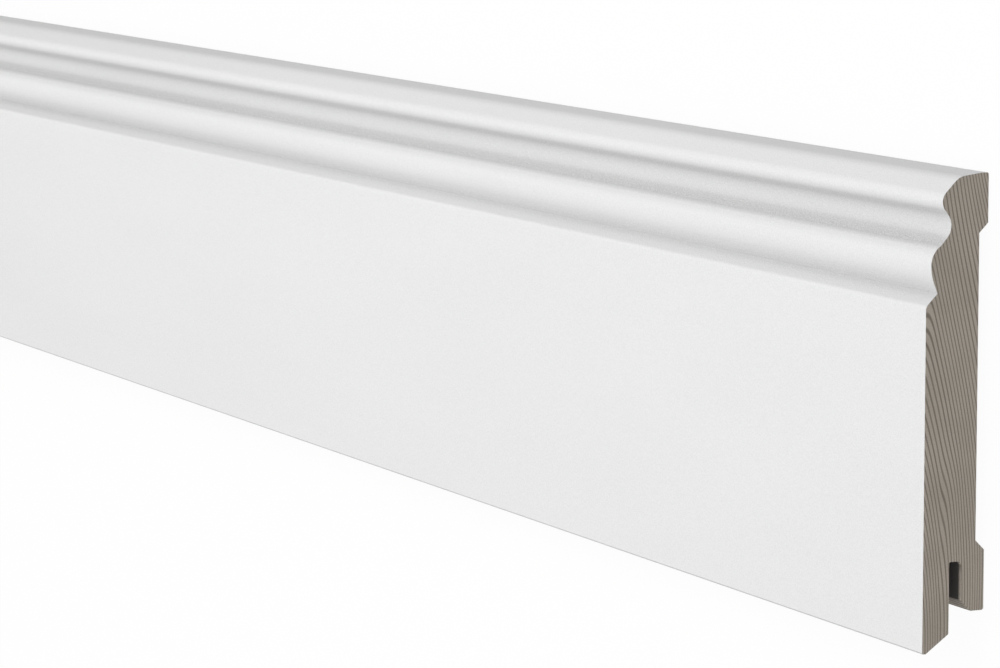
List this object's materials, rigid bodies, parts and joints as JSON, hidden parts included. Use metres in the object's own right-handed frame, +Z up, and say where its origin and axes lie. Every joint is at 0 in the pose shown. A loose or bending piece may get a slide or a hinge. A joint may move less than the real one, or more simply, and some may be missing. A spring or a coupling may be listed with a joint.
{
  "type": "skirting board length",
  "caption": "Straight length of white painted timber skirting board with a moulded top edge, a clip slot at the foot and a shallow cable channel in its back.",
  "frame": {"origin": "on the ground under the middle of the board, which lies on its back", "axes": "+X along the length, towards the end that the picture shows; +Y across the board, from the foot to the moulded top; +Z up, out of the face"},
  "size_m": [2.4, 0.12, 0.0175],
  "materials": {
    "painted_timber": "smooth low-sheen white on the face and the moulded top; bare planed and sawn grey-brown timber on the back, in the slot and on the ends"
  },
  "bodies": {
    "root": {"skirting_board": "painted_timber"}
  },
  "joints": []
}
